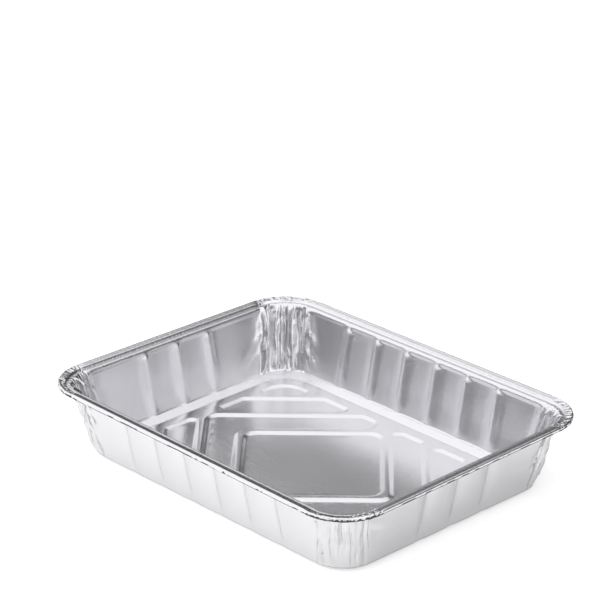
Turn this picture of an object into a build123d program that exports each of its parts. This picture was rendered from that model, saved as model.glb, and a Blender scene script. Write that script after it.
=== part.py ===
from build123d import *
import os
from math import atan2, cos, pi, sin, sqrt, tan

# Pressed aluminium foil roasting tray: one sheet drawn into a rounded box with a curled rim.
# Origin on the table under the middle of the base, +X along the long side, +Z up.
# The under skin (the side of the sheet towards the table) sets the sizes; the upper skin
# is the same shape lifted by the sheet thickness.

foil = 0.15                  # sheet thickness

# rim
rim_length = 320.0           # over the curled edge
rim_width = 252.0
rim_height = 58.0            # top of the flange above the table
rim_corner = 36.0            # plan radius of the curled edge
lip_radius = 1.5             # bend from the wall into the ledge
ledge_run = 1.6
ledge_drop = 1.8             # step between the ledge and the flange
riser_run = 0.9
flange_run = 5.4
bend_radius = 0.5            # small bends of that step
curl_radius = 1.6
curl_turn = 265.0            # how far the edge is rolled under, degrees

# walls
wall_lean = 10.3             # a wall leans out this much between its foot and its top
foot_corner = 26.0           # plan radius of the wall foot and of the base
heel_height = 3.5            # wall foot above the table
heel_run = 7.0               # sloping heel between the wall and the standing ring

# base
ring_run = 2.2               # flat ring the tray stands on
step_run = 2.0               # slope from the ring up to the ridge level
ridge_height = 2.6
border_run = 8.0             # flat border between that slope and the panels
ridge_pitch = 30.0           # spacing of the slanting ridges
ridge_first = 54.5           # first ridge line from the middle
ridge_rows = 3
ridge_top = 3.0              # flat width of a ridge
panel_depth = 1.5            # panels lie this far below the ridges
panel_slope = 3.4            # run of the panel sides
panel_round = 4.5            # corner radius of a panel
middle_round = 10.0          # corner radius on the middle lines of the tray
tray_round = 18.0            # panel corner radius next to a tray corner

# ribs pressed inwards into the walls
rib_pitch = 31.2
rib_width = 9.0              # at the wall face
rib_crest = 4.6
rib_depth = 2.0
rib_ramp = 4.0               # length of the tapered upper end
rib_stop = 3.0               # plain wall above a rib
rib_tail = 8.0               # runs on below the wall foot until the heel swallows it
rib_outset = 1.0             # the rib cutter starts this far outside the wall
ribs_long = 6
ribs_short = 3

rim_reach = lip_radius + ledge_run + riser_run + flange_run + curl_radius
wall_top = rim_height - foil - ledge_drop - lip_radius
top_half = (rim_length / 2 - rim_reach, rim_width / 2 - rim_reach)
top_corner = rim_corner - rim_reach
foot_half = tuple(h - wall_lean for h in top_half)
ring_half = tuple(h - heel_run for h in foot_half)
step_half = tuple(h - ring_run for h in ring_half)
level_half = tuple(h - step_run for h in step_half)
panel_half = tuple(h - border_run for h in level_half)


def rounded(half, radius, height, grow):
    """Rounded rectangle at a height, grown all round."""
    return Pos(0, 0, height) * RectangleRounded(2 * (half[0] + grow), 2 * (half[1] + grow), radius)


def band(low, high):
    """Straight-sided ring or plug between two outlines."""
    return loft([low, high], ruled=True)


def edge_shift(run, rise, lift):
    """Sideways shift of the edges of a slope when the skin is lifted."""
    return lift * tan(atan2(rise, run) / 2)


def strip(s_range, t_range):
    """Rectangle in axes turned 45 degrees: s towards +X+Y, t towards +X-Y."""
    s_mid, t_mid = sum(s_range) / 2, sum(t_range) / 2
    centre = Pos((s_mid + t_mid) / sqrt(2), (s_mid - t_mid) / sqrt(2), 0)
    return centre * Rot(0, 0, 45) * Rectangle(s_range[1] - s_range[0], t_range[1] - t_range[0])


def corner_radius(spot):
    near_x = abs(spot.X) > panel_half[0] - panel_slope
    near_y = abs(spot.Y) > panel_half[1] - panel_slope
    if near_x and near_y:
        return tray_round
    if min(abs(spot.X), abs(spot.Y)) < ridge_top:
        return middle_round
    return panel_round


def soften(sketch):
    """Round every corner of a panel outline."""
    face = sketch.faces()[0]
    spots = [Vector(vertex) for vertex in sketch.vertices()]
    for radius in (panel_round, middle_round, tray_round):
        sharp = [spot for spot in spots if corner_radius(spot) == radius]
        picked = [v for v in face.vertices() if any((Vector(v) - spot).length < foil for spot in sharp)]
        if picked:
            face = face.fillet_2d(radius, picked)
    return face


def panels():
    """Outlines of the sunken panels between the ridges, at half their depth."""
    half_top = (ridge_top + panel_slope) / 2
    lines = [ridge_first + row * ridge_pitch for row in range(ridge_rows)]
    far = rim_length
    border = Rectangle(2 * panel_half[0] - panel_slope, 2 * panel_half[1] - panel_slope)
    middle = lines[0] - half_top
    outlines = [strip((-middle, middle), (-middle, middle))]
    inner, outer = lines[0] + half_top, lines[1] - half_top
    hook = strip((-outer, far), (-outer, -inner)) + strip((-outer, -inner), (-outer, middle))
    outlines += [border & hook, border & Rot(0, 0, 180) * hook]
    for inner, outer in ((lines[1] + half_top, lines[2] - half_top), (lines[2] + half_top, far)):
        for turn in (0, 180):
            outlines.append(border & Rot(0, 0, turn) * strip((-far, far), (-outer, -inner)))
            outlines.append(border & Rot(0, 0, turn) * strip((-outer, -inner), (-far, far)))
    return [soften(outline) for outline in outlines]


panel_faces = panels()


def rib_cutter(lift):
    """Cutter for one rib on the +Y wall, its foot at the wall foot in the middle."""
    flank = (rib_width - rib_crest) / 2
    shift = edge_shift(flank, rib_depth, lift)

    def section(depth, along):
        wide = rib_width / 2 + shift + (lift + rib_outset) * flank / rib_depth
        crest = wide - (rib_outset + lift + depth) * flank / rib_depth
        outline = Polyline((-wide, rib_outset), (wide, rib_outset),
                           (crest, -depth - lift), (-crest, -depth - lift), close=True)
        return Pos(0, 0, along) * make_face(outline)

    lean = atan2(wall_lean, wall_top - heel_height)
    length = (wall_top - heel_height) / cos(lean) - rib_stop
    sections = [section(rib_depth, -rib_tail), section(rib_depth, length - rib_ramp)]
    body = band(*sections) + band(sections[1], section(-rib_outset / 2, length))
    wall = Plane(origin=(0, foot_half[1], heel_height), x_dir=(1, 0, 0),
                 z_dir=(0, sin(lean), cos(lean)))
    return wall * body


def ribs(lift):
    """All rib cutters, spread evenly along the four walls."""
    one = rib_cutter(lift)
    reach = foot_half[0] - foot_half[1]
    cutters = []
    for turn in (0, 180):
        for i in range(ribs_long):
            x = (i - (ribs_long - 1) / 2) * rib_pitch
            cutters.append(Rot(0, 0, turn) * Pos(x, 0, 0) * one)
        for i in range(ribs_short):
            y = (i - (ribs_short - 1) / 2) * rib_pitch
            cutters.append(Rot(0, 0, turn + 90) * Pos(y, reach, 0) * one)
    return cutters


def filled(lift):
    """Everything above one skin of the tray up to the top of the wall."""
    heel = edge_shift(heel_run, heel_height, lift)
    step = edge_shift(step_run, ridge_height, lift)
    slope = edge_shift(panel_slope, panel_depth, lift)
    foot_z = heel_height + lift * tan(pi / 4 - atan2(heel_height, heel_run) / 2)
    foot = rounded(foot_half, foot_corner, foot_z, -lift)
    body = band(foot, rounded(top_half, top_corner, wall_top, -lift))
    body += band(rounded(ring_half, foot_corner, lift, -heel), foot)
    level = ridge_height + lift
    body -= band(rounded(step_half, foot_corner, lift, step),
                 rounded(level_half, foot_corner, level, step))
    for outline in panel_faces:
        brink = offset(outline, panel_slope / 2 - slope)
        floor = offset(outline, -panel_slope / 2 - slope)
        body += band(Pos(0, 0, level) * brink, Pos(0, 0, level - panel_depth) * floor)
    for cutter in ribs(lift):
        body -= cutter
    return body


def rim():
    """Lip, ledge, flange and rolled edge, carried round the top of the wall."""
    ledge_z = wall_top + lip_radius
    flange_z = ledge_z + ledge_drop
    riser = lip_radius + ledge_run
    flange = riser + riser_run
    roll = flange + flange_run
    roll_radius = curl_radius - foil
    lip = RadiusArc((0, wall_top), (lip_radius, ledge_z), lip_radius)
    step = FilletPolyline((lip_radius, ledge_z), (riser, ledge_z), (flange, flange_z),
                          (roll, flange_z), radius=bend_radius)
    curl = CenterArc((roll, flange_z - roll_radius), roll_radius, 90, -curl_turn)
    under = Wire((lip + step + curl).edges())
    section = make_face(offset(under, foil, side=Side.LEFT))
    start = Plane(origin=(top_half[0], 0, 0), x_dir=(1, 0, 0), z_dir=(0, -1, 0))
    path = rounded(top_half, top_corner, wall_top, 0).wire()
    return sweep(start * section, path=path)


tray = filled(0) - filled(foil) + rim()

os.makedirs("parts", exist_ok=True)
export_step(tray, "parts/tray.step")
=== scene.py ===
import bpy
import bmesh
import math
import numpy as np
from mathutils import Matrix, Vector, noise
from mathutils.geometry import delaunay_2d_cdt


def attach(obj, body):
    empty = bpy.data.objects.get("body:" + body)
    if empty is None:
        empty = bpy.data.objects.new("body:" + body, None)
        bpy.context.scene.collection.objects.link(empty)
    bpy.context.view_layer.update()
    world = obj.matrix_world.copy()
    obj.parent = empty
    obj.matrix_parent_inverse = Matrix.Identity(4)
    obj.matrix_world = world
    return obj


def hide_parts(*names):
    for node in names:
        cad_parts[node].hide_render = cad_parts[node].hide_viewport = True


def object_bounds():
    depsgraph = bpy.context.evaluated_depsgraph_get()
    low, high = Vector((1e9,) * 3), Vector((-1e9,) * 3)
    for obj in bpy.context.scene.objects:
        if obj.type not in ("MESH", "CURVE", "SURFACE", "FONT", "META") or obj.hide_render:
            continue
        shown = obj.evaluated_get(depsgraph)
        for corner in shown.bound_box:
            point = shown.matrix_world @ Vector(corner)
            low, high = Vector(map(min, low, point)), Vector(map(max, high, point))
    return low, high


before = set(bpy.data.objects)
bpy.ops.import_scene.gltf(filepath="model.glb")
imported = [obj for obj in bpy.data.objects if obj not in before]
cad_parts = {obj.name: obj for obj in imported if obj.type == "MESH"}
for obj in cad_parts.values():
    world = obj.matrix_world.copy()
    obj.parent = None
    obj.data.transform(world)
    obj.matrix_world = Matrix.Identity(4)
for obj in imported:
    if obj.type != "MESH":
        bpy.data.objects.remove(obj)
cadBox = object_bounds()
mm = 0.001

# the tray's half length and half width over the rim, and its height, in millimetres
boxHalf = (round(cadBox[1][0] / mm), round(cadBox[1][1] / mm))
boxHeight = round(cadBox[1][2] / mm)


def grown(half, by):
    return (half[0] + by, half[1] + by)


# the sheet of the tray as rows of points round it, in millimetres: sizes of the under skin
tray = {
    "foil": 0.15,
    "topHalf": grown(boxHalf, -11.0),       # wall top
    "topCorner": 25.0,
    "topHeight": boxHeight - 3.45,
    "footHalf": grown(boxHalf, -21.3),      # wall foot
    "footCorner": 26.0,
    "footHeight": 3.5,
    "ringHalf": grown(boxHalf, -28.3),      # outer edge of the standing ring
    "stepHalf": grown(boxHalf, -30.5),      # inner edge of the ring
    "levelHalf": grown(boxHalf, -32.5),     # start of the flat border at ridge level
    "ridgeHeight": 2.6,
    "cornerColumns": 74,
    # heights of the wall's rows, closer together where the ribs end
    "wallHeights": (53.0, 52.2, 51.4, 50.6, 49.6, 48.4, 46.6, 44.4, 42.0, 39.4, 36.8, 34.2,
                    31.6, 29.0, 26.4, 23.8, 21.2, 18.6, 16.0, 13.2, 10.6, 8.4, 6.4, 5.0),
    "droop": {"all": 0.1, "near": 3.0, "far": 1.2},     # how far the rim hangs
}

# from the wall outwards: lip, ledge, riser, flange and the edge rolled under
rim = {
    "lip": 1.5, "bend": 1.7, "ledge": 3.1, "riser": 0.7, "drop": 1.8, "flange": 4.45,
    "roll": 1.1, "rollHeight": 1.6, "rollTurn": 265.0, "rollRows": 12,
    "shadeBelow": {"side": -16.0, "corner": 12.0},    # painted shade: below this angle the roll gets a dark foil colour in place of the shade under it
    "shadeUneven": 44.0,             # how far that angle strays
    "tilt": 0.82,                   # the flange falls this much towards the ledge
    "groove": 0.05,                 # depth of the fine line along the flange
    "fall": 0.9,                    # the ledge slopes down this much, outwards
    "sink": 0.6,                    # the ledge lies this much lower than it would be when new
    "pleat": 0.7,                   # height of the pleats on the corner flange
    "crimp": 0.34,                  # depth of the crimps in the corner roll
    "ragged": 0.18,                 # unevenness of the rolled edge
}

ribs = {
    "pitch": 31.2, "width": 9.6, "crest": 1.7,
    "proud": 0.8, "recess": 1.4,    # a rib stands this far in, and the wall beside it this far out
    "count": {"long": 6, "short": 3},
    "top": (50.2, 53.0),            # the recess rises to the lip between these heights
}

crease = {
    "reach": 21.0,                  # half length along a corner that is crumpled
    "fade": 6.0,
    "steep": 0.62,                  # depth of a fold over its width
    "wander": 1.5,                  # how far a fold strays sideways
    "broad": 0.55, "dent": 0.48,    # height of the slow swells and of the small dents
    "fanDepth": 0.8, "fanCount": 5, "shortCount": 30, "seed": 11,
    "strength": (0.75, 1.05, 1.35, 1.25),   # corners in turn from +X -Y, anticlockwise
}


def smooth(x, low, high):
    t = np.clip((x - low) / (high - low), 0.0, 1.0)
    return t * t * (3 - 2 * t)


def wave(x, y, z=0.0):
    return noise.noise(Vector((x, y, z)))


waves = np.vectorize(wave)


# places along a side where columns stand: close together across each rib
def sideStations(count):
    half = ribs["width"] / 2 + 0.4
    marks = []
    for i in range(count):
        centre = (i - (count - 1) / 2) * ribs["pitch"]
        marks += [centre + k * half for k in (-1, -0.84, -0.6, -0.34, -0.12, 0.12, 0.34, 0.6, 0.84, 1)]
        if i < count - 1:
            gap = ribs["pitch"] - 2 * half
            marks += [centre + half + gap * k / 3 for k in (1, 2)]
    return marks


# columns run once round the tray: (kind, side number, place along it, share of the way to the corner)
def columnPlan():
    plan = []
    steps = 15
    ease = [1 - (1 - k / steps) ** 1.6 for k in range(1, steps)]
    n = tray["cornerColumns"]
    sides = (("long", 0), ("short", 1), ("long", 2), ("short", 3))
    for kind, turn in sides:
        plan += [("tail", turn, -1, e) for e in reversed(ease)]
        plan += [("side", turn, m, 0) for m in sideStations(ribs["count"][kind])]
        plan += [("tail", turn, 1, e) for e in ease]
        plan += [("corner", turn, k / n, 0) for k in range(n + 1)]
    return plan


plan = columnPlan()
ribEdge = {kind: sideStations(ribs["count"][kind])[-1] for kind in ("long", "short")}


# point and outward direction of every column on one rounded outline
def outline(half, radius):
    points, normals = [], []
    for kind, turn, a, e in plan:
        long = turn % 2 == 0
        straight = half[0 if long else 1] - radius
        out = half[1 if long else 0]
        if kind == "corner":
            angle = a * math.pi / 2
            along = straight + radius * math.sin(angle)
            away = out - radius + radius * math.cos(angle)
            n = (math.sin(angle), math.cos(angle))
        else:
            edge = ribEdge["long" if long else "short"]
            along = a if kind == "side" else a * (edge + e * (straight - edge))
            away = out
            n = (0.0, 1.0)
        # side 0 is at -Y and runs towards +X, then +X, +Y and -X
        turned = turn * math.pi / 2
        c, s = math.cos(turned), math.sin(turned)
        points.append((along * c + away * s, along * s - away * c))
        normals.append((n[0] * c + n[1] * s, n[0] * s - n[1] * c))
    return np.array(points), np.array(normals)


# distance round the nearest corner from its middle, and the place along a straight side
def columnFacts():
    corner, along, side = [], [], []
    radius = (tray["topCorner"] + tray["footCorner"]) / 2
    for kind, turn, a, e in plan:
        long = turn % 2 == 0
        straight = tray["topHalf"][0 if long else 1] - tray["topCorner"]
        edge = ribEdge["long" if long else "short"]
        if kind == "corner":
            corner.append((a - 0.5) * math.pi / 2 * radius)
            along.append(999.0)
        else:
            place = a if kind == "side" else a * (edge + e * (straight - edge))
            reach = radius * math.pi / 4 + straight - abs(place)
            corner.append(-reach if place > 0 else reach)
            along.append(place)
        # number of the corner that a column is nearest to
        side.append(turn if kind == "corner" or a > 0 else (turn + 3) % 4)
    return np.array(corner), np.array(along), np.array(side)


cornerPlace, sidePlace, cornerNumber = columnFacts()
isLong = np.array([turn % 2 == 0 for kind, turn, a, e in plan])


# how far the wall stands in at one height: ribs come inwards, and the wall between them lies back
def ribPush(height):
    push = np.zeros(len(plan))
    half = ribs["width"] / 2
    for kind in ("long", "short"):
        count = ribs["count"][kind]
        nearest = np.clip(np.round(sidePlace / ribs["pitch"] + (count - 1) / 2), 0, count - 1)
        centre = (nearest - (count - 1) / 2) * ribs["pitch"]
        off = np.abs(sidePlace - centre)
        flank = 1 - (np.hypot(off, ribs["crest"]) - ribs["crest"]) / (half - 0.6)
        shape = (flank + np.sqrt(flank ** 2 + 0.025)) / 2
        push += np.where(isLong == (kind == "long"), shape, 0.0)
    level = np.array(height)
    low = tray["footHeight"]
    foot = 0.6 + 0.4 * smooth(level, low, 11.0)
    proud = np.clip(foot * ribs["proud"] - 1.2 * max(0.0, low - height), 0, None)
    proud = proud * (1 - smooth(level, ribs["top"][0] - 2, ribs["top"][1]))
    recess = ribs["recess"] * smooth(level, low - 4, 22.0) * (1 - smooth(level, *ribs["top"]))
    return push * proud - (1 - np.clip(push, 0, 1)) * recess * smooth(np.abs(cornerPlace), 21.0, 31.0)


# crumpled foil in the corners: flat facets between upright folds that wander, start and stop
def foldPlan():
    rng = np.random.default_rng(crease["seed"])
    corners = []
    end = crease["reach"] + crease["fade"]
    for corner in range(4):
        gaps = rng.choice([0.8, 1.1, 1.5, 2.0, 2.8, 4.0], 70, p=[0.06, 0.14, 0.24, 0.26, 0.2, 0.1])
        marks = -end + np.cumsum(gaps)
        marks = marks[marks < end]
        gaps = gaps[:len(marks)]
        signs = np.where(np.arange(len(marks)) % 2, 1, -1)
        depths = signs * gaps * crease["steep"] * rng.uniform(0.35, 1.5, len(marks))
        corners.append((marks, depths, rng.uniform(0, 90, len(marks))))
    return corners


foldSets = foldPlan()


# short sharp creases that cross the folds: (place, height, lean, half length, width, depth)
def shortPlan():
    rng = np.random.default_rng(crease["seed"] + 5)
    count = crease["shortCount"]
    corners = []
    for corner in range(4):
        place, level = rng.normal(0, crease["reach"] * 0.5, count), rng.uniform(6, 52, count)
        lean, length = rng.normal(0, 0.5, count), rng.uniform(2.5, 9, count)
        width = rng.uniform(0.5, 1.0, count)
        depth = rng.choice([-1, 1], count) * rng.uniform(0.25, 0.65, count)
        corners.append(list(zip(place, level, lean, length, width, depth)))
    return corners


shortSets = shortPlan()


def shortPush(height):
    out = np.zeros(len(plan))
    for corner, creases in enumerate(shortSets):
        mine = (cornerNumber == corner) & (np.abs(cornerPlace) < crease["reach"] + crease["fade"])
        x = cornerPlace[mine]
        for place, level, lean, length, width, depth in creases:
            up = height - level
            if abs(up) > length + 2:
                continue
            across = x - place - lean * up - 0.6 * wave(up / 4, place, corner * 9.0)
            span = 1 - smooth(np.array(abs(up)), length * 0.5, length + 1)
            groove = np.exp(-np.abs(across) / width)
            facet = np.where(across > 0, np.exp(-np.abs(across) / 2.6), 0.0)
            out[mine] += depth * span * (groove + 0.5 * facet)
    return out


# how far the crumpled corners stand out at one height
def crumple(height):
    out = np.zeros(len(plan))
    end = crease["reach"] + crease["fade"]
    for corner, (marks, depths, seeds) in enumerate(foldSets):
        mine = (cornerNumber == corner) & (np.abs(cornerPlace) < end + 8)
        lane = corner * 31.7
        stray = 1.6 * waves(marks / 9, height / 20, lane) + 0.5 * waves(marks / 3, height / 7, lane + 4)
        places = np.maximum.accumulate(marks + crease["wander"] * stray)
        alive = waves(seeds, height / 24, lane + 8)
        levels = depths * np.clip(0.75 + 2.2 * alive, 0.0, 1.5)
        x = cornerPlace[mine]
        folds = np.interp(x, places, levels, left=0, right=0)
        env = 1 - smooth(np.abs(x), crease["reach"] + 3 * wave(height / 9, 3.1, lane), end)
        broad = waves(x / 7, height / 40, lane + 9) + 0.5 * waves(x / 3.4, height / 13, lane + 12)
        dented = np.maximum(0, 0.15 + waves(x / 8, height / 9, lane + 19))
        dents = waves(x / 1.4, height / 2.6, lane + 15) * dented
        folds = folds + crease["broad"] * broad + crease["dent"] * dents
        out[mine] = crease["strength"][corner] * env * folds
    return out + shortPush(height)


# softer creases that fan from the corners into the flat walls
def fanPlan():
    rng = np.random.default_rng(crease["seed"])
    lines = []
    for corner in range(4):
        for way in (-1, 1):
            for i in range(crease["fanCount"]):
                start = 17 + rng.uniform(0, 5)
                top = rng.uniform(22, 50)
                length = rng.uniform(12, 30)
                fall = rng.uniform(0.5, 1.4)
                sign = rng.choice([-1, 1])
                lines.append((corner, way, start, top, length, fall, sign, rng.uniform(0.9, 1.8)))
    return lines


fans = fanPlan()


def fanPush(height):
    out = np.zeros(len(plan))
    for corner, way, start, top, length, fall, sign, width in fans:
        x = cornerPlace * way
        mine = (cornerNumber == corner) & (x > start - 4)
        t = ((x - start) + (top - height) * fall) / (1 + fall * fall)
        d = np.abs((x - start) * fall - (top - height)) / math.sqrt(1 + fall * fall)
        span = smooth(t, -2, 3) * (1 - smooth(t, length * 0.4, length))
        out += np.where(mine, sign * span * np.exp(-(d / width) ** 1.3), 0.0)
    return out * crease["fanDepth"]


# slow waves in the flat walls
def slack(points, height):
    lift = smooth(np.array(height), 4, 18) * (1 - smooth(np.array(height), 44, 54))
    loose = 0.10 + 0.30 * smooth(-points[:, 0], 60, 140)
    return loose * lift * waves(points[:, 0] / 34, points[:, 1] / 34, height / 30)


print("tray: columns", len(plan))

rows = []       # each row: (x, y, z) for every column


def addRow(half, radius, height, push=None, rise=None):
    points, normals = outline(half, radius)
    if push is not None:
        points = points + normals * push[:, None]
    z = np.full(len(plan), height) if rise is None else height + rise
    rows.append(np.column_stack([points, z]))


inCorner = 1 - smooth(np.abs(cornerPlace), 19.0, 24.0)


# the rim, from its rolled edge to the top of the wall
def makeRim():
    top, radius = tray["topHalf"], tray["topCorner"]
    ledgeZ = tray["topHeight"] + rim["lip"]
    flangeZ = ledgeZ + rim["drop"]
    riserAt = rim["lip"] + rim["ledge"]
    flangeAt = riserAt + rim["riser"]
    rollAt = flangeAt + rim["flange"]
    centreZ = flangeZ - rim["rollHeight"]
    path = []       # outward, up, how much it is pleated, how much it is crimped
    # the roll, from the cut edge up to the flange
    for i in range(rim["rollRows"], -1, -1):
        angle = math.radians(90 - rim["rollTurn"] * i / rim["rollRows"])
        out = rollAt + rim["roll"] * math.cos(angle)
        path.append((out, centreZ + rim["rollHeight"] * math.sin(angle), 0.5, 1.0))
    # the flange, inwards
    grooveAt = 0.54
    for k in (0.86, 0.7, 0.6, grooveAt, 0.48, 0.34, 0.2, 0.07):
        dip = rim["groove"] if k == grooveAt else 0.0
        path.append((flangeAt + rim["flange"] * k, flangeZ - rim["tilt"] * (1 - k) - dip, 1.0, 0.0))
    # the riser, down to the ledge
    ledgeZ -= rim["sink"]
    path.append((flangeAt - 0.02, flangeZ - rim["tilt"] - 0.12, 0.7, 0.0))
    path.append((flangeAt - 0.12, flangeZ - rim["tilt"] - 0.3, 0.6, 0.0))
    path.append((flangeAt - 0.18, ledgeZ + 0.1 - rim["fall"], 0.5, 0.0))
    path.append((flangeAt - 0.4, ledgeZ - rim["fall"], 0.4, 0.0))
    # the lip, over into the wall
    for i in range(6):
        angle = math.radians(90 + 80 * i / 6)
        out = rim["bend"] * (1 + math.cos(angle))
        path.append((out, ledgeZ - rim["bend"] * (1 - math.sin(angle)), 0.3, 0.0))
    ring = outline(top, radius)[0]
    arc = np.cumsum(np.linalg.norm(np.diff(ring, axis=0, prepend=ring[-1:]), axis=1))
    around = cornerPlace + cornerNumber * 71.0
    topFold = crumple(tray["topHeight"])
    # pleats and crimps in the corners, a ragged roll all round, and the wall's folds carried into the lip
    for out, up, pleated, crimped in path:
        grain = waves(around / 0.9, out / 5.0, 2.0) + 0.5 * waves(around / 1.2, out / 1.1, 5.0)
        pinch = 1 - 2.4 * np.abs(waves(around / 1.3, 7.0, 0.0))
        uneven = rim["ragged"] * (waves(arc / 5.0, up / 2.0, 3.0) - 0.5)
        radial = crimped * (inCorner * rim["crimp"] * (pinch - 0.6) + uneven)
        follow = max(0.0, 1 - out / 3.0) * 0.55
        shift = grain * pleated * inCorner * rim["pleat"]
        low = smooth(np.array(-up), -(centreZ + 0.3), -(centreZ - 1.2))
        sag = crimped * low * rim["ragged"] * 1.6 * waves(arc / 1.6, 1.0, 8.0)
        rise = shift - 0.55 * inCorner * rim["pleat"] * pleated + sag - 0.15
        rise += (1 - crimped) * 0.05 * waves(arc / 7.0, out / 2.5, 9.0)
        addRow(grown(top, out), radius + out, up, push=radial + follow * topFold, rise=rise)


def makeWall():
    topHalf, footHalf = tray["topHalf"], tray["footHalf"]
    for height in tray["wallHeights"]:
        t = (tray["topHeight"] - height) / (tray["topHeight"] - tray["footHeight"])
        half = tuple(a + (b - a) * t for a, b in zip(topHalf, footHalf))
        radius = tray["topCorner"] + (tray["footCorner"] - tray["topCorner"]) * t
        points = outline(half, radius)[0]
        # creases are weaker at the foot and under the lip
        keep = smooth(np.array(height), tray["footHeight"] - 0.5, 8.0) * 0.8 + 0.2
        keep = keep * (1 - 0.45 * smooth(np.array(height), 50.0, 54.5))
        creases = (crumple(height) + fanPush(height)) * keep
        push = -ribPush(height) + creases + slack(points, height)
        addRow(half, radius, height, push=push)


# from the foot of the wall down to the standing ring, and up to the border of the base
def makeHeel():
    r = tray["footCorner"]
    foot, ring, step, level = tray["footHalf"], tray["ringHalf"], tray["stepHalf"], tray["levelHalf"]
    z = tray["footHeight"]
    crushed = crumple(z) * 0.2
    # outward, down, and whether the ends of the ribs show there
    path = ((0.0, 0.0, 1), (-0.5, 0.15, 1), (-1.6, 0.7, 1), (-2.6, 1.2, 1),
            (-5.0, 2.45, 0), (-6.4, 3.2, 0), (-7.0, 3.42, 0))
    for out, down, rib in path:
        fade = 1 - smooth(np.array(-out), 0, 3)
        addRow(grown(foot, out), r, z - down, push=-ribPush(z - down * 0.9) * rib + crushed * fade)
    addRow(grown(ring, -0.7), r, 0.0)
    addRow(grown(step, 0.2), r, 0.12)
    addRow(grown(step, -0.5), r, 0.62)
    addRow(grown(step, -1.5), r, 1.95)
    addRow(grown(level, -0.3), r, 2.52)
    addRow(grown(level, -1.1), r, tray["ridgeHeight"])


makeRim()
print("rim: rows", len(rows))
makeWall()
makeHeel()
print("wall and heel: rows", len(rows))


# base: sunken panels between slanting ridges
base = {
    "pitch": 30.0, "first": 54.5, "top": 3.0, "slope": 3.4, "depth": 1.5,
    "panelHalf": grown(boxHalf, -40.5),
    "round": 4.5, "middleRound": 10.0, "trayRound": 18.0,
    "grid": 5.6,                    # spacing of the loose points on flat areas
    "step": 6.0,                    # spacing along straight panel sides
}


# polygon cut by the half plane n.p <= c
def cut(poly, n, c):
    kept = []
    for i, p in enumerate(poly):
        q = poly[(i + 1) % len(poly)]
        dp, dq = n[0] * p[0] + n[1] * p[1] - c, n[0] * q[0] + n[1] * q[1] - c
        if dp <= 1e-9:
            kept.append(p)
        if (dp < -1e-9 and dq > 1e-9) or (dp > 1e-9 and dq < -1e-9):
            t = dp / (dp - dq)
            kept.append((p[0] + (q[0] - p[0]) * t, p[1] + (q[1] - p[1]) * t))
    return kept


# the two slanting directions of the ridges
root2 = math.sqrt(2)
alongS, alongT = (1 / root2, 1 / root2), (1 / root2, -1 / root2)


def slanted(s, t):
    return ((s + t) / root2, (s - t) / root2)


def border():
    x, y = (h - base["slope"] / 2 for h in base["panelHalf"])
    return [(-x, -y), (x, -y), (x, y), (-x, y)]


# the strip of a polygon between two lines across an axis
def slab(poly, axis, low, high):
    poly = cut(poly, axis, high)
    return cut(poly, (-axis[0], -axis[1]), -low)


def halfTurn(poly):
    return [(-x, -y) for x, y in poly]


# the hook-shaped panel beside the middle one, as one outline
def hookPanel(inner, outer, middle):
    arm = slab(border(), alongT, -outer, -inner)
    arm = slab(arm, alongS, -outer, 999)
    leg = slab(slab(border(), alongS, -outer, -inner), alongT, -outer, middle)
    # the walk: outer corner, along the leg's outside, back up its inside, then round the arm
    legEnd = [p for p in leg if (p[0] - p[1]) / root2 > -inner + 0.5]
    armEnd = [p for p in arm if (p[0] + p[1]) / root2 > -inner + 0.5]
    legEnd.sort(key=lambda p: (p[0] + p[1]) / root2)
    armEnd.sort(key=lambda p: (p[0] - p[1]) / root2)
    return [slanted(-outer, -outer)] + legEnd + [slanted(-inner, -inner)] + armEnd[::-1]


def panelOutlines():
    gap = (base["top"] + base["slope"]) / 2
    lines = [base["first"] + base["pitch"] * k for k in range(3)]
    middle = lines[0] - gap
    corners = ((-middle, middle), (middle, middle), (middle, -middle), (-middle, -middle))
    found = [[slanted(s, t) for s, t in corners]]
    hook = hookPanel(lines[0] + gap, lines[1] - gap, middle)
    found += [hook, halfTurn(hook)]
    for inner, outer in ((lines[1] + gap, lines[2] - gap), (lines[2] + gap, 999)):
        for axis in (alongT, alongS):
            strip = slab(border(), axis, -outer, -inner)
            found += [strip, halfTurn(strip)]
    return [anticlockwise(p) for p in found]


# the polygon in anticlockwise order
def anticlockwise(poly):
    area = sum(p[0] * q[1] - q[0] * p[1] for p, q in zip(poly, poly[1:] + poly[:1]))
    return poly if area > 0 else poly[::-1]


# radius of a panel's corner, by where it lies
def cornerRound(p):
    x, y = (h - base["slope"] for h in base["panelHalf"])
    if abs(p[0]) > x and abs(p[1]) > y:
        return base["trayRound"]
    if min(abs(p[0]), abs(p[1])) < base["top"]:
        return base["middleRound"]
    return base["round"]


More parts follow.
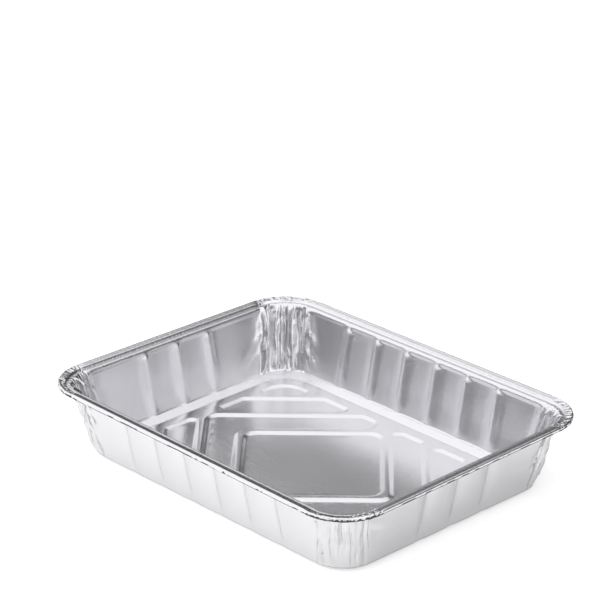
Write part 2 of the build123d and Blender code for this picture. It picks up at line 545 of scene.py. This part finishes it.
# the outline moved in by d, its corners rounded, as points with even steps
def contour(poly, d):
    n = len(poly)
    moved, radii = [], []
    for i in range(n):
        a, b, c = (Vector(poly[(i + k) % n]) for k in (-1, 0, 1))
        u, v = (b - a).normalized(), (c - b).normalized()
        nu, nv = Vector((-u.y, u.x)), Vector((-v.y, v.x))
        cross = u.x * v.y - u.y * v.x
        shift = (nu + nv) / (1 + nu.dot(nv))
        moved.append(b + shift * d)
        radii.append((cornerRound(b) - d, cross) if cross > 0 else (cornerRound(b) + d, cross))
    points = []
    for i in range(n):
        a, b, c = (moved[(i + k) % n] for k in (-1, 0, 1))
        u, v = (b - a).normalized(), (c - b).normalized()
        r, cross = radii[i]
        turn = u.angle_signed(v) * -1
        cutBack = r * math.tan(abs(turn) / 2)
        start = b - u * cutBack
        side = 1 if cross > 0 else -1
        centre = start + Vector((-u.y, u.x)) * r * side
        steps = max(4, round(abs(turn) * cornerRound(Vector(poly[i])) / 1.3))
        first = math.atan2(start.y - centre.y, start.x - centre.x)
        angles = [first + turn * k / steps for k in range(steps + 1)]
        arc = [centre + Vector((math.cos(angle), math.sin(angle))) * r for angle in angles]
        if points:
            points += between(points[-1], arc[0], poly, i)
        points += arc
    return points + between(points[-1], points[0], poly, 0)


# loose points along a straight panel side
def between(p, q, poly, i):
    a, b = Vector(poly[i - 1]), Vector(poly[i])
    steps = max(1, round((b - a).length / base["step"]))
    return [p.lerp(q, k / steps) for k in range(1, steps)]


# depth across a panel's side, with rounded edges; d is the distance in from half depth
def sideDepth(d):
    half = base["slope"] / 2
    return (softRamp(d + half) - softRamp(d - half)) / (2 * half) * base["depth"]


def softRamp(x, soft=0.55):
    return 0.0 if x < -soft else x if x > soft else (x + soft) ** 2 / (4 * soft)


# which points lie inside a polygon, and how far they are from its outline
def insideOf(poly, x, y):
    inside = np.zeros(x.shape, bool)
    distance = np.full(x.shape, 1e9)
    for p, q in zip(poly, poly[1:] + poly[:1]):
        crossing = (p[1] > y) != (q[1] > y)
        with np.errstate(divide="ignore", invalid="ignore"):
            at = (q[0] - p[0]) * (y - p[1]) / (q[1] - p[1]) + p[0]
        inside ^= crossing & (x < at)
        dx, dy = q[0] - p[0], q[1] - p[1]
        t = np.clip(((x - p[0]) * dx + (y - p[1]) * dy) / max(1e-9, dx * dx + dy * dy), 0, 1)
        distance = np.minimum(distance, np.hypot(x - p[0] - t * dx, y - p[1] - t * dy))
    return inside, distance


# the base as triangles that follow the border, the panel sides and loose points between
def buildBase():
    ledge = rows[-1]
    flat = [(p[0], p[1]) for p in ledge]
    heights = [p[2] for p in ledge]
    edges = [(i, (i + 1) % len(flat)) for i in range(len(flat))]
    outlines = panelOutlines()
    offsets = (-2.25, -1.7, -1.15, 0.0, 1.15, 1.7, 2.25)
    for poly in outlines:
        for d in offsets:
            loop = contour(poly, d)
            first = len(flat)
            flat += [(p.x, p.y) for p in loop]
            heights += [tray["ridgeHeight"] - sideDepth(d)] * len(loop)
            edges += [(first + i, first + (i + 1) % len(loop)) for i in range(len(loop))]
    half = rows[-1][:, :2].max(axis=0) - 3.5
    nx, ny = (int(h / base["grid"]) for h in half)
    gx, gy = np.meshgrid(np.arange(-nx, nx + 1) * base["grid"], np.arange(-ny, ny + 1) * base["grid"])
    gx, gy = gx.ravel(), gy.ravel()
    gx = gx + np.where(np.round(gy / base["grid"]).astype(int) % 2, base["grid"] / 2, 0)
    low = np.zeros(gx.shape, bool)
    clear = np.full(gx.shape, 1e9)
    for poly in outlines:
        loop = [(p.x, p.y) for p in contour(poly, 0)]
        inside, distance = insideOf(loop, gx, gy)
        low |= inside
        clear = np.minimum(clear, distance)
    inside, distance = insideOf([(p[0], p[1]) for p in ledge[::3]], gx, gy)
    keep = (clear > 3.4) & inside & (distance > 2.2)
    for x, y, deep in zip(gx[keep], gy[keep], low[keep]):
        flat.append((x, y))
        heights.append(tray["ridgeHeight"] - (base["depth"] if deep else 0.0))
    result = delaunay_2d_cdt([Vector(p) for p in flat], edges, [], 1, 1e-5)
    return result, flat, heights


# slow unevenness of the base
def ripple(x, y):
    half = tray["levelHalf"]
    inner = smooth(np.minimum(half[0] - abs(x), half[1] - abs(y)), 2.0, 12.0)
    return float(inner) * (0.16 * wave(x / 42, y / 42, 4.0) + 0.03 * wave(x / 9, y / 9, 8.0))


# painted shade under the roll: which faces of its underside get the dark material that stands in for
# shade
def inRollShade(row, column):
    angle = 90 - rim["rollTurn"] * (rim["rollRows"] - row - 0.5) / rim["rollRows"]
    shadeAngles = rim["shadeBelow"]
    limit = shadeAngles["side"] + (shadeAngles["corner"] - shadeAngles["side"]) * inCorner[column]
    return row < rim["rollRows"] and angle < limit + rim["shadeUneven"] * wave(column / 2.3, row / 3, 6.0)


# one skin of the sheet: rows joined by four-sided faces, and the base set into the last row
def buildSheet():
    n = len(plan)
    marks = []
    verts = [tuple(p) for row in rows for p in row]
    faces = []
    for r in range(len(rows) - 1):
        for c in range(n):
            d = (c + 1) % n
            faces.append((r * n + c, r * n + d, (r + 1) * n + d, (r + 1) * n + c))
            # faces under the roll take material 1, the painted shade
            marks.append(int(inRollShade(r, c)))
    (points, _, triangles, sources, _, _), flat, heights = buildBase()
    last = (len(rows) - 1) * n
    index = []
    for p, source in zip(points, sources):
        first = source[0] if source else None
        if first is not None and first < n:
            index.append(last + first)
        else:
            z = heights[first] if first is not None else tray["ridgeHeight"]
            verts.append((p.x, p.y, z + ripple(p.x, p.y)))
            index.append(len(verts) - 1)
    faces += [tuple(index[i] for i in t) for t in triangles]
    print("base: points", len(points), "faces", len(triangles))
    marks += [0] * len(triangles)
    return verts, faces, marks


verts, faces, marks = buildSheet()


# the rim does not lie flat: two opposite corners hang a little lower
def droop(x, y, z):
    u, v = x / boxHalf[0], y / boxHalf[1]
    hang, foot = tray["droop"], 4.0
    fall = hang["all"] + hang["near"] * (1 + u) * (1 - v) / 4 + hang["far"] * (1 - u) * (1 + v) / 4
    return (x, y, min(boxHeight - 0.02, z - fall * max(0.0, z - foot) / (boxHeight - foot)))


verts = [droop(*v) for v in verts]
mesh = bpy.data.meshes.new("foilTray")
mesh.from_pydata([tuple(c * mm for c in v) for v in verts], [], faces)
# material 1 is the painted shade under the roll
mesh.polygons.foreach_set("material_index", marks)
shape = bmesh.new()
shape.from_mesh(mesh)
bmesh.ops.remove_doubles(shape, verts=shape.verts, dist=1e-6)
bmesh.ops.recalc_face_normals(shape, faces=shape.faces)
floorFace = min(shape.faces, key=lambda f: f.calc_center_median().length)
if floorFace.normal.z > 0:
    bmesh.ops.reverse_faces(shape, faces=shape.faces)
for face in shape.faces:
    face.smooth = True
shape.to_mesh(mesh)
openEdges = sum(1 for e in shape.edges if len(e.link_faces) == 1)
oddEdges = sum(1 for e in shape.edges if len(e.link_faces) > 2)
shape.free()
print("sheet: vertices", len(mesh.vertices), "faces", len(mesh.polygons),
      "open edges", openEdges, "odd edges", oddEdges)

foilTray = bpy.data.objects.new("foilTray", mesh)
bpy.context.collection.objects.link(foilTray)
# the open edge of the skin is the end of the roll, and the thickness closes it
thick = foilTray.modifiers.new("foil", "SOLIDIFY")
thick.thickness = tray["foil"] * mm
thick.offset = -1
thick.use_rim = True

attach(foilTray, "root")
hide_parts("tray")


# a hex colour as linear light
def linear(code):
    values = [int(code[i:i + 2], 16) / 255 for i in (1, 3, 5)]
    return tuple(v / 12.92 if v <= 0.04045 else ((v + 0.055) / 1.055) ** 2.4 for v in values) + (1.0,)


# settings go to an input of that name, or else to the node itself
def addNode(tree, kind, settings=None, links=None):
    node = tree.nodes.new(kind)
    for key, value in (settings or {}).items():
        if key in node.inputs:
            node.inputs[key].default_value = value
        else:
            setattr(node, key, value)
    for socket, source in (links or {}).items():
        tree.links.new(source, node.inputs[socket])
    return node


# arithmetic on two values, where the second is a number or another node's output
def addMaths(tree, operation, first, second):
    node = addNode(tree, "ShaderNodeMath", {"operation": operation}, {0: first})
    if hasattr(second, "links"):
        tree.links.new(second, node.inputs[1])
    else:
        node.inputs[1].default_value = second
    return node


def newMaterial(name):
    material = bpy.data.materials.new(name)
    material.use_nodes = True
    material.node_tree.nodes.clear()
    return material, material.node_tree


# rolled aluminium foil, bright side: a soft mirror, faintly grained along the rolling direction
foil = {
    "colour": "#E7E7E9",
    # painted shade: colour and roughness of the dark foil under the roll
    "rollShadeColour": "#4C4D4F", "rollShadeRoughness": 0.45,
    "roughness": 0.21, "uneven": 0.04,
    "scatter": 0.17, "scatterRoughness": 0.45,      # share of the surface roughened by the rolls
    "grain": 2.2,           # millimetres across a grain mark, drawn coarser than real ones to show
    "streak": 1.4,          # millimetres across a rolling line, drawn coarser too
    "patch": 71.4,          # millimetres across a duller patch
}


def rolledFoil():
    material, tree = newMaterial("rolledAluminiumFoil")
    place = addNode(tree, "ShaderNodeTexCoord").outputs["Object"]
    grain = addNode(tree, "ShaderNodeTexNoise",
                    {"Scale": 1000 / foil["grain"], "Detail": 2.0, "Roughness": 0.6}, {"Vector": place})
    stretch = addNode(tree, "ShaderNodeMapping", {"Scale": (0.02, 1.0, 1.0)}, {"Vector": place})
    lines = addNode(tree, "ShaderNodeTexNoise", {"Scale": 1000 / foil["streak"], "Detail": 2.0},
                    {"Vector": stretch.outputs["Vector"]})
    patches = addNode(tree, "ShaderNodeTexNoise", {"Scale": 1000 / foil["patch"], "Detail": 1.0},
                      {"Vector": place})
    rough = addNode(tree, "ShaderNodeMapRange",
                    {"To Min": foil["roughness"] - foil["uneven"],
                     "To Max": foil["roughness"] + foil["uneven"]},
                    {"Value": patches.outputs["Fac"]})
    fineBump = addNode(tree, "ShaderNodeBump", {"Strength": 0.35, "Distance": 0.0004},
                       {"Height": grain.outputs["Fac"]})
    lineBump = addNode(tree, "ShaderNodeBump", {"Strength": 0.05, "Distance": 0.0002},
                       {"Height": lines.outputs["Fac"], "Normal": fineBump.outputs["Normal"]})
    bare = {"Base Color": linear(foil["colour"]), "Metallic": 1.0}
    mirror = addNode(tree, "ShaderNodeBsdfPrincipled", bare,
                     {"Roughness": rough.outputs["Result"], "Normal": lineBump.outputs["Normal"]})
    scatter = addNode(tree, "ShaderNodeBsdfPrincipled", {**bare, "Roughness": foil["scatterRoughness"]},
                      {"Normal": fineBump.outputs["Normal"]})
    sheet = addNode(tree, "ShaderNodeMixShader", {"Fac": foil["scatter"]},
                    {1: mirror.outputs["BSDF"], 2: scatter.outputs["BSDF"]})
    addNode(tree, "ShaderNodeOutputMaterial", links={"Surface": sheet.outputs[0]})
    return material


# painted shade under the rolled edge: a dark, rougher foil in place of the shade that falls below the
# roll
def paintedRollShade():
    material, tree = newMaterial("paintedShadeUnderRoll")
    metal = addNode(tree, "ShaderNodeBsdfPrincipled",
                    {"Base Color": linear(foil["rollShadeColour"]), "Metallic": 1.0,
                     "Roughness": foil["rollShadeRoughness"]})
    addNode(tree, "ShaderNodeOutputMaterial", links={"Surface": metal.outputs["BSDF"]})
    return material


foilTray.data.materials.append(rolledFoil())
# second material: painted shade under the roll
foilTray.data.materials.append(paintedRollShade())
print("foil: material made")


studio = {
    "floor": "#F4F3F2",
    "lift": {"seen": 0.44, "mirrored": 0.06},       # glow of the floor to the camera and to mirrored rays
    "light": (-0.63, -0.65, 1.0),   # middle of the big soft light, up on the left
    # brightness of the room, against the direction's dot product with "light"
    "room": ((0.0, 0.02), (0.24, 0.04), (0.45, 0.20), (0.70, 1.0), (1.05, 1.2)),
    "widest": 1.4,                  # more than that product ever is
    # two more soft lights, from the right and from the near right
    "fills": (
        {"towards": (0.8, -0.05, 0.6), "from": 0.72, "to": 0.90, "bright": 1.25},
        {"towards": (0.72, -0.55, 0.42), "from": 0.62, "to": 0.98, "bright": 0.16},
    ),
    # light from above, beginning at this sine of the elevation
    "ceiling": {"from": 0.66, "to": 0.77, "bright": 1.12},
    "tint": (0.985, 0.985, 1.0, 1),
    "lamps": [
        # name, place, size, watts
        ("frontBox", (-0.8, -1.6, 2.1), (2.5, 2.3), 30),
    ],
}


def whiteFloor():
    material, tree = newMaterial("paintedFloor")
    path = addNode(tree, "ShaderNodeLightPath")
    paint = addNode(tree, "ShaderNodeBsdfDiffuse", {"Color": linear(studio["floor"])})
    seen = addMaths(tree, "MULTIPLY", path.outputs["Is Camera Ray"], studio["lift"]["seen"])
    mirrored = addMaths(tree, "MULTIPLY", path.outputs["Is Glossy Ray"], studio["lift"]["mirrored"])
    lift = addMaths(tree, "ADD", seen.outputs[0], mirrored.outputs[0])
    glow = addNode(tree, "ShaderNodeEmission", {"Color": (1, 1, 1, 1)}, {"Strength": lift.outputs[0]})
    both = addNode(tree, "ShaderNodeAddShader", links={0: paint.outputs[0], 1: glow.outputs[0]})
    addNode(tree, "ShaderNodeOutputMaterial", links={"Surface": both.outputs[0]})
    return material


bpy.ops.mesh.primitive_plane_add(size=16.0, location=(0, 0, -0.0002))
floor = bpy.context.object
floor.name = "floor"
floor.data.materials.append(whiteFloor())


# how nearly the direction looked in is a fixed one
def towards(tree, way, direction):
    node = addNode(tree, "ShaderNodeVectorMath", {"operation": "DOT_PRODUCT"}, {0: way})
    node.inputs[1].default_value = direction
    return node.outputs["Value"]


def softStep(tree, value, patch):
    settings = {"interpolation_type": "SMOOTHSTEP", "From Min": patch["from"], "From Max": patch["to"],
                "To Max": patch["bright"]}
    return addNode(tree, "ShaderNodeMapRange", settings, {"Value": value}).outputs["Result"]


# a room that is bright on one side and above, and dark on the other
def softRoom():
    world = bpy.data.worlds.new("studio")
    bpy.context.scene.world = world
    world.use_nodes = True
    tree = world.node_tree
    tree.nodes.clear()
    way = addNode(tree, "ShaderNodeTexCoord").outputs["Generated"]
    share = addMaths(tree, "MULTIPLY", towards(tree, way, studio["light"]), 1 / studio["widest"])
    ramp = addNode(tree, "ShaderNodeValToRGB", links={"Fac": share.outputs[0]})
    stops = ramp.color_ramp.elements
    ramp.color_ramp.interpolation = "EASE"
    for i, (at, level) in enumerate(studio["room"]):
        stop = stops[i] if i < 2 else stops.new(at / studio["widest"])
        stop.position = at / studio["widest"]
        stop.color = (level, level, level, 1)
    height = addNode(tree, "ShaderNodeSeparateXYZ", links={"Vector": way}).outputs["Z"]
    lights = [softStep(tree, height, studio["ceiling"])]
    lights += [softStep(tree, towards(tree, way, fill["towards"]), fill) for fill in studio["fills"]]
    brightest = ramp.outputs["Color"]
    for light in lights:
        brightest = addMaths(tree, "MAXIMUM", brightest, light).outputs[0]
    back = addNode(tree, "ShaderNodeBackground", {"Color": studio["tint"]}, {"Strength": brightest})
    # looked at directly, the room is plain white
    path = addNode(tree, "ShaderNodeLightPath")
    white = addNode(tree, "ShaderNodeBackground", {"Color": (1, 1, 1, 1), "Strength": 1.0})
    whole = addNode(tree, "ShaderNodeMixShader",
                    links={0: path.outputs["Is Camera Ray"], 1: back.outputs[0], 2: white.outputs[0]})
    addNode(tree, "ShaderNodeOutputWorld", links={"Surface": whole.outputs[0]})


softRoom()

for name, place, size, watts in studio["lamps"]:
    lamp = bpy.data.lights.new(name, "AREA")
    lamp.shape = "RECTANGLE"
    lamp.size, lamp.size_y = size
    lamp.energy = watts
    holder = bpy.data.objects.new(name, lamp)
    holder.location = place
    holder.visible_glossy = False       # its reflection is the bright side of the room
    aim = Vector((0, 0, boxHeight / 2 * mm)) - Vector(place)
    holder.rotation_euler = aim.to_track_quat("-Z", "Y").to_euler()
    bpy.context.collection.objects.link(holder)
print("studio: floor, room and lamps set")


view = {
    "azimuth": 46.1, "elevation": 25.7, "distance": 1.96,
    "middle": (0.0, 0.0, 0.030),
    "turn": 0.29, "tip": -2.75,     # degrees off the middle of the tray
    "sensor": 36.0, "lens": 161.4,  # millimetres
}


def lookBack(azimuth, elevation):
    a, e = math.radians(azimuth), math.radians(elevation)
    return Vector((math.sin(a) * math.cos(e), -math.cos(a) * math.cos(e), math.sin(e)))


camera = bpy.data.objects.new("camera", bpy.data.cameras.new("camera"))
bpy.context.collection.objects.link(camera)
camera.location = Vector(view["middle"]) + lookBack(view["azimuth"], view["elevation"]) * view["distance"]
back = lookBack(view["azimuth"] + view["turn"], view["elevation"] + view["tip"])
camera.rotation_euler = (-back).to_track_quat("-Z", "Y").to_euler()
camera.data.sensor_width = view["sensor"]
camera.data.lens = view["lens"]
camera.data.clip_end = 50.0
bpy.context.scene.camera = camera
bpy.context.scene.view_settings.view_transform = "Standard"
